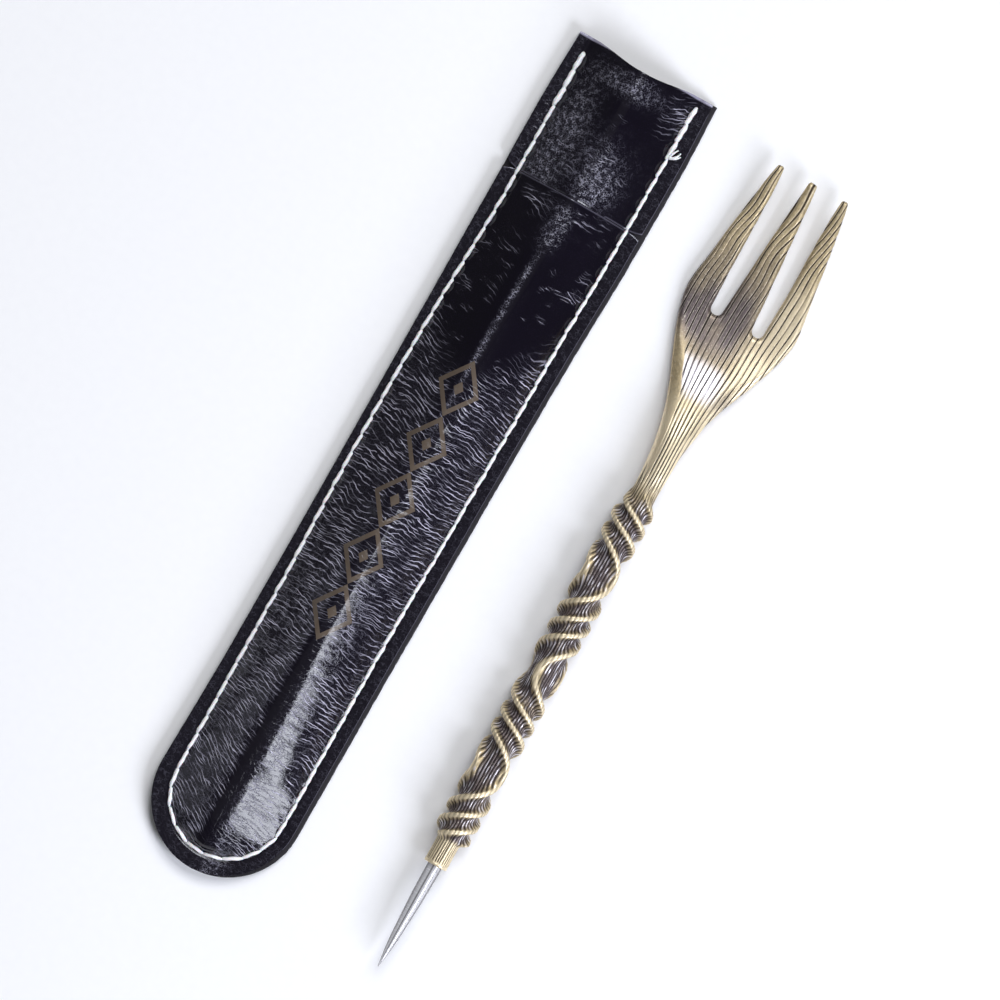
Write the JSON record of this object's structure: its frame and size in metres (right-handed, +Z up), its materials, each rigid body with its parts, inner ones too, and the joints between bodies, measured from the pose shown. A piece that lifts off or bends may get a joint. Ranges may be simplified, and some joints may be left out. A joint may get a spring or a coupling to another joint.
{
  "type": "uncapping fork and pick",
  "caption": "Three-tine fork head and steel needle on one twisted cast-metal handle, lying beside its sewn leather sheath.",
  "frame": {"origin": "middle of the bottom of the box around the tool and its sheath, on the surface that both lie on", "axes": "+Y along the tool towards its tines and along the sheath towards its mouth, +X from the sheath to the tool, +Z up"},
  "size_m": [0.0696, 0.1842, 0.0126],
  "materials": {
    "antique_brass": "antiqued casting, dark in the grooves and polished gold on the ribs",
    "ground_steel": "polished, faintly ground around",
    "black_leather": "glossy, crinkled, black with a violet cast",
    "leather_flesh_side": "matte, fibrous",
    "white_thread": "twisted waxed thread"
  },
  "bodies": {
    "tool": {"fork_casting": "antique_brass", "needle": "ground_steel"},
    "sheath": {"sheath_back": "leather_flesh_side", "sheath_front": "black_leather", "mouth_band": "black_leather", "seam_thread_front": "white_thread", "seam_thread_back": "white_thread"}
  },
  "joints": [
    {"name": "sheath_draw", "type": "slide", "parent": "tool", "child": "sheath", "axis": [0, -1, 0], "range_m": [0, 0.185]}
  ]
}
